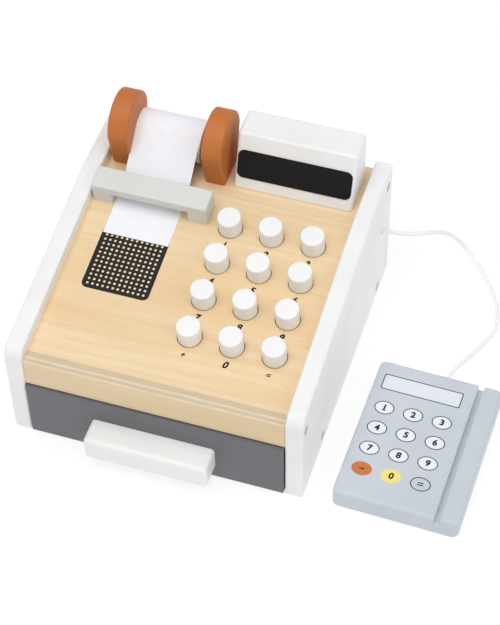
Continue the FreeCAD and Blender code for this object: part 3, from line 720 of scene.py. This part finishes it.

# ---------------------------------------------------------------- cross recesses in the screws, drawn as flat crosses of painted shade
SCREWS = ((7.4, 64.7), (46.8, 7.4), (181.5, 7.0), (199.5, 89.6))
SIDE_FRONT = -105
SCREW_OUT = 99
CROSS_HALF_LONG = 2.2
CROSS_HALF_WIDE = 0.45
ARMS = (
    (CROSS_HALF_LONG, CROSS_HALF_WIDE, LINE_TOP),
    (CROSS_HALF_WIDE, CROSS_HALF_LONG, LINE_TOP + 0.01 * MM),
)
for side, word in ((-1, "left"), (1, "right")):
    for number, (back, up) in enumerate(SCREWS, start=1):
        bm = bmesh.new()
        for across, along, top in ARMS:
            corners = ((-across, -along), (across, -along), (across, along), (-across, along))
            plate(bm, sized(corners), 0.0, top)
        out = Matrix.Translation(xyz(side * SCREW_OUT, SIDE_FRONT + back, up))
        out = out @ Matrix.Rotation(side * QUARTER, 4, "Y")
        out = out @ Matrix.Rotation(rng.uniform(0, math.pi), 4, "Z")
        piece(f"screw_cross_{word}_{number}", bm, RECESS_PAINTED_SHADE, "case", out, smooth=False)

# ---------------------------------------------------------------- printed pad with its dots
PAD = (-71.9, 55.2, -25.4, 104.6)
PAD_CORNER = 4.0
DOT_PITCH = 3.53
DOT_R = 0.88
DOT_ONE = (-68.05, 58.9)
DOT_ROWS = 13
DOT_COLUMNS = 12
bm = bmesh.new()
plate(bm, sized(round_rect(*PAD, PAD_CORNER)), 0.0, LINE_TOP)
piece("dot_pad_print", bm, BLACK_PRINT, "case", ON_SLOPE, smooth=False)
bm = bmesh.new()
for row in range(DOT_ROWS):
    for column in range(DOT_COLUMNS):
        cx = DOT_ONE[0] + column * DOT_PITCH
        cy = DOT_ONE[1] + row * DOT_PITCH
        plate(bm, sized(oval(cx, cy, DOT_R, DOT_R, 14)), LINE_TOP + 0.005 * MM, INK_TOP)
piece("dot_pad_dots", bm, DOT_PRINT, "case", ON_SLOPE, smooth=False)

# ---------------------------------------------------------------- paper
ROLL_CENTRE = xyz(0, 80.3, 110)
ROLL_R = 14.7 * MM
ROLL_X = (-70.0 * MM, -24.2 * MM)
STRIP_DRIFT = -1.4 * MM
DRIFT_END = 1.8
ROLL_WIDE = ROLL_X[1] - ROLL_X[0]
ROLL_RIM = 0.25 * MM
CORE_R = 6.5 * MM
ROLL_START = Vector((ROLL_X[0], ROLL_CENTRE.y, ROLL_CENTRE.z))
AXLE_UP = Matrix.Translation(ROLL_START) @ Matrix.Rotation(QUARTER, 4, "Y")

bm = bmesh.new()
lathe(
    bm,
    [
        (CORE_R, 0),
        (ROLL_R - ROLL_RIM, 0),
        (ROLL_R, 0.8 * ROLL_RIM),
        (ROLL_R, ROLL_WIDE * 0.5),
        (ROLL_R, ROLL_WIDE - 0.8 * ROLL_RIM),
        (ROLL_R - ROLL_RIM, ROLL_WIDE),
        (CORE_R, ROLL_WIDE),
        (CORE_R, 0),
    ],
    count=128,
)
bmesh.ops.remove_doubles(bm, verts=bm.verts, dist=1e-7)
roll = piece("wound_paper_roll", bm, PAPER, "roll", AXLE_UP)
roll.data.materials.append(PAPER_SIDE)
for polygon in roll.data.polygons:
    if abs(polygon.normal.x) > 0.9:
        polygon.material_index = 1
sharpen(roll, 40)
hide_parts("paper_roll")


def slope_spot(u, n):
    return ON_SLOPE @ xyz(0, u, n)


PAPER_THICK = 0.12 * MM
PAPER_LIFT = 0.22
TAIL_START = 98.7
FLAT_END = 136.5
FLAT_STEPS = 18
END_CURL = 0.25
LEAD_ANGLE = math.radians(43.5)
LEAD_STRAIGHT = 24 * MM
BEND_PULL = 7 * MM
WRAP_STEP = math.radians(7)
WRAP_STEPS = 15
TOUCH = ROLL_R + PAPER_THICK


def bezier(a, b, c, d, steps):
    """Points on a cubic curve from a to d, pulled towards b and c."""
    out = []
    for i in range(steps + 1):
        t = i / steps
        s = 1 - t
        out.append(a * s**3 + b * 3 * s * s * t + c * 3 * s * t * t + d * t**3)
    return out


def paper_line():
    """The middle of the strip, from its free end up to where it lies on the roll."""
    flat_end = slope_spot(FLAT_END, PAPER_LIFT)
    flat = []
    for i in range(FLAT_STEPS):
        curl = END_CURL * max(0, 1 - i / 3) ** 2
        flat.append(slope_spot(TAIL_START + (FLAT_END - TAIL_START) * i / FLAT_STEPS, PAPER_LIFT + curl))
    down = Vector((0, -math.cos(LEAD_ANGLE), -math.sin(LEAD_ANGLE)))
    leave = ROLL_CENTRE + Vector((0, -math.sin(LEAD_ANGLE), math.cos(LEAD_ANGLE))) * TOUCH
    along = Vector((0, math.cos(SLOPE), math.sin(SLOPE)))
    low = leave + down * LEAD_STRAIGHT
    bend = bezier(flat_end, flat_end + along * BEND_PULL, low + down * BEND_PULL, low, 14)
    straight = [low + (leave - low) * (i / 6) for i in range(1, 7)]
    wrap = []
    for i in range(1, WRAP_STEPS + 1):
        a = QUARTER + LEAD_ANGLE - WRAP_STEP * i
        wrap.append(ROLL_CENTRE + Vector((0, math.cos(a), math.sin(a))) * TOUCH)
    return flat + bend + straight + wrap


def band(name, line, x0, x1, thick, material, drift, columns=5):
    """A closed thin band across X along a line in the YZ plane.

    The first part of it lies `drift` to one side, and the rest comes back true by the end."""
    bm = bmesh.new()
    rows = []
    for i, spot in enumerate(line):
        ahead = (line[min(i + 1, len(line) - 1)] - line[max(i - 1, 0)]).normalized()
        out = Vector((0, -ahead.z, ahead.y)) * thick / 2
        row = []
        aside = drift * min(1, DRIFT_END * (1 - i / (len(line) - 1)))
        for side in (1, -1):
            for c in range(columns + 1):
                x = x0 + (x1 - x0) * c / columns + aside
                row.append(bm.verts.new(Vector((x, spot.y, spot.z)) + out * side))
        rows.append(row)
    wide = columns + 1
    for a, b in zip(rows, rows[1:]):
        for c in range(columns):
            bm.faces.new((a[c], a[c + 1], b[c + 1], b[c]))
            bm.faces.new((a[wide + c], b[wide + c], b[wide + c + 1], a[wide + c + 1]))
        bm.faces.new((a[0], b[0], b[wide], a[wide]))
        bm.faces.new((a[columns], a[wide + columns], b[wide + columns], b[columns]))
    for row in (rows[0], rows[-1]):
        for c in range(columns):
            bm.faces.new((row[c], row[wide + c], row[wide + c + 1], row[c + 1]))
    bmesh.ops.recalc_face_normals(bm, faces=bm.faces)
    return piece(name, bm, material, None)


strip = band("paper_strip", paper_line(), *ROLL_X, PAPER_THICK, PAPER, STRIP_DRIFT)
sharpen(strip, 50)
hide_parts("paper_lead", "paper_tail")
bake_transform(strip)

# ---------------------------------------------------------------- card reader prints
COLUMNS = (13.3, 32.9, 52.5)
ROWS = (74.1, 57.0, 39.9, 22.8)
PRINTS = [["1", "2", "3"], ["4", "5", "6"], ["7", "8", "9"], ["minus", "0", "equals"]]
BARS = {  # centre height, length and width of each bar; the figure 1 stands on one
    "minus": ((0, 3.8, 0.8),),
    "equals": ((0.85, 3.9, 0.75), (-0.85, 3.9, 0.75)),
    "1": ((-2.05, 2.5, 0.7),),
}
LAST_FILLS = (ORANGE_PRINT, YELLOW_PRINT)
OVAL_X = 6.75
OVAL_Y = 5.4
LINE_WIDE = 0.65
READER_PRINT = {"size": 6.4 * MM, "bold": 0.25 * MM}


def bar(bm, cx, cy, long, wide):
    """A printed bar with its centre at (cx, cy)."""
    x, y = long / 2, wide / 2
    corners = ((cx - x, cy - y), (cx + x, cy - y), (cx + x, cy + y), (cx - x, cy + y))
    plate(bm, sized(corners), LINE_TOP, INK_TOP)


def key_fill(name, where, material):
    """A printed key's oval patch."""
    bm = bmesh.new()
    plate(bm, sized(oval(*where, OVAL_X, OVAL_Y)), 0.0, FILL_TOP)
    piece(f"reader_key_fill_{name}", bm, material, "reader", ON_READER, smooth=False)


def key_outline(name, where):
    """The dark line round a printed key."""
    bm = bmesh.new()
    inner = oval(*where, OVAL_X - LINE_WIDE, OVAL_Y - LINE_WIDE)
    ring_plate(bm, sized(oval(*where, OVAL_X, OVAL_Y)), sized(inner), 0.0, LINE_TOP)
    piece(f"reader_key_line_{name}", bm, OUTLINE_INK, "reader", ON_READER, smooth=False)


def key_bars(name, where):
    """The straight strokes of a minus, of an equals sign or of a 1's foot."""
    bm = bmesh.new()
    for above, long, wide in BARS[name]:
        bar(bm, where[0], where[1] + above, long, wide)
    piece(f"reader_bars_{name}", bm, INK, "reader", ON_READER, smooth=False)


for r, names in enumerate(PRINTS):
    for c, name in enumerate(names):
        where = (COLUMNS[c], ROWS[r])
        # the last row's keys are orange, yellow and a bare outline; the others have both
        if r < 3 or c < 2:
            key_fill(name, where, LAST_FILLS[c] if r == 3 else PALE_PRINT)
        if r < 3 or c == 2:
            key_outline(name, where)
        if name in BARS:
            key_bars(name, where)
        if name.isdigit():
            spot = sized([where])[0]
            lettering(f"reader_label_{name}", name, spot, "reader", ON_READER, slant=0.05, **READER_PRINT)

LEFT, FRONT, RIGHT, BACK = 6.0, 89.0, 60.2, 101.8
WINDOW_CORNER = 1.2
INNER_CORNER = 0.8
window = sized(round_rect(LEFT, FRONT, RIGHT, BACK, WINDOW_CORNER))
bm = bmesh.new()
plate(bm, window, 0.0, FILL_TOP)
piece("reader_window_fill", bm, WINDOW_PRINT, "reader", ON_READER, smooth=False)
bm = bmesh.new()
within = (LEFT + LINE_WIDE, FRONT + LINE_WIDE, RIGHT - LINE_WIDE, BACK - LINE_WIDE)
ring_plate(bm, window, sized(round_rect(*within, INNER_CORNER)), 0.0, LINE_TOP)
piece("reader_window_line", bm, OUTLINE_INK, "reader", ON_READER, smooth=False)

# ---------------------------------------------------------------- cord
ON_TABLE = 1.6
CORD_D = 3.0 * MM


def in_reader(x, y, z):
    """A spot in the reader's own frame, in millimetres like the rest of the route."""
    return READER_CORNER / MM + Matrix.Rotation(READER_TURN, 3, "Z") @ Vector((x, y, z))


ROUTE = [
    Vector((88, 82, 59)),
    Vector((118, 82, 59.5)),
    Vector((138, 109, 44)),
    Vector((150, 126.5, 14)),
    Vector((171, 112, ON_TABLE)),
    Vector((191, 74, ON_TABLE)),
    Vector((179, 43, ON_TABLE)),
    in_reader(45.5, 124.8, 8),
    in_reader(42, 103.8, 8),
]


def nurbs(name, spots, bevel):
    """A quadratic spline with the route's points as its control points, round if bevel isn't 0."""
    curve = bpy.data.curves.new(name, "CURVE")
    curve.dimensions = "3D"
    spline = curve.splines.new("NURBS")
    spline.points.add(len(spots) - 1)
    for point, spot in zip(spline.points, spots):
        point.co = (*(spot * MM), 1)
    spline.order_u = 3
    spline.use_endpoint_u = True
    spline.resolution_u = 16
    curve.bevel_depth = bevel
    curve.bevel_resolution = 6
    curve.use_fill_caps = True
    made = bpy.data.objects.new(name, curve)
    bpy.context.scene.collection.objects.link(made)
    bpy.context.view_layer.update()
    return made


def mesh_of(thing):
    shown = thing.evaluated_get(bpy.context.evaluated_depsgraph_get())
    return bpy.data.meshes.new_from_object(shown)


line = nurbs("cord_line", ROUTE, 0.0)
cord_path = [v.co.copy() for v in mesh_of(line).vertices]
bpy.data.objects.remove(line)
tube = nurbs("cord_form", ROUTE, CORD_D / 2)
cord_mesh = mesh_of(tube)
bpy.data.objects.remove(tube)
cord_mesh.materials.clear()
cord_mesh.materials.append(CORD_WHITE)
for polygon in cord_mesh.polygons:
    polygon.use_smooth = True
cord = bpy.data.objects.new("white_reader_cord", cord_mesh)
bpy.context.scene.collection.objects.link(cord)
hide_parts("reader_cord")
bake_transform(cord)

# ---------------------------------------------------------------- floor, light and camera
# The floor glows a little, so that it stays pale and its shadows stay soft.
FLOOR_GLOW = 0.74
FLOOR_HALF = 6
FLOOR_DROP = 0.2 * MM
SKY = 0.50


def floor_material():
    g = Graph("studio_floor")
    speck = g.noise(g.coords, 40, detail=3)
    g.set("Base Color", g.mix(speck, (0.29, 0.29, 0.29), (0.31, 0.31, 0.31)))
    g.set("Emission Color", (1, 1, 1, 1))
    g.set("Emission Strength", FLOOR_GLOW)
    g.set("Roughness", 0.9)
    g.bsdf.inputs["Specular IOR Level"].default_value = 0.1
    return g.material


bm = bmesh.new()
bmesh.ops.create_grid(bm, x_segments=8, y_segments=8, size=FLOOR_HALF)
floor = piece("studio_floor", bm, floor_material(), None, Matrix.Translation((0, 0, -FLOOR_DROP)))

world = bpy.data.worlds.new("studio")
world.use_nodes = True
world.node_tree.nodes["Background"].inputs["Color"].default_value = (1.0, 1.0, 1.0, 1)
world.node_tree.nodes["Background"].inputs["Strength"].default_value = SKY
bpy.context.scene.world = world

LIGHT_AIM = Vector((0, 0, 0.05))


def area(name, where, size, power):
    """A square soft light, `size` metres across, that shines on the toy."""
    data = bpy.data.lights.new(name, "AREA")
    data.size = size
    data.energy = power
    made = bpy.data.objects.new(name, data)
    made.location = where
    made.rotation_euler = (LIGHT_AIM - Vector(where)).to_track_quat("-Z", "Y").to_euler()
    bpy.context.scene.collection.objects.link(made)


area("key_light", (-0.15, -0.42, 1.8), size=1.3, power=15.5)
area("fill_light", (1.3, -0.5, 1.2), size=1.2, power=5)

AZIMUTH = math.radians(18.75)
ELEVATION = math.radians(50.38)
CAMERA_ROLL = math.radians(-1.32)
TARGET = xyz(20.2, 33.3, 0)
DISTANCE = 1338.1 * MM
LENS = 110.27
camera_data = bpy.data.cameras.new("camera")
camera_data.lens = LENS
camera_data.sensor_width = 36.0
camera_data.clip_start = 0.05
camera_data.clip_end = 30
camera = bpy.data.objects.new("camera", camera_data)
camera.matrix_world = (
    Matrix.Translation(TARGET)
    @ Matrix.Rotation(AZIMUTH, 4, "Z")
    @ Matrix.Rotation(QUARTER - ELEVATION, 4, "X")
    @ Matrix.Rotation(CAMERA_ROLL, 4, "Z")
    @ Matrix.Translation((0, 0, DISTANCE))
)
bpy.context.scene.collection.objects.link(camera)
bpy.context.scene.camera = camera
bpy.context.scene.view_settings.view_transform = "Standard"
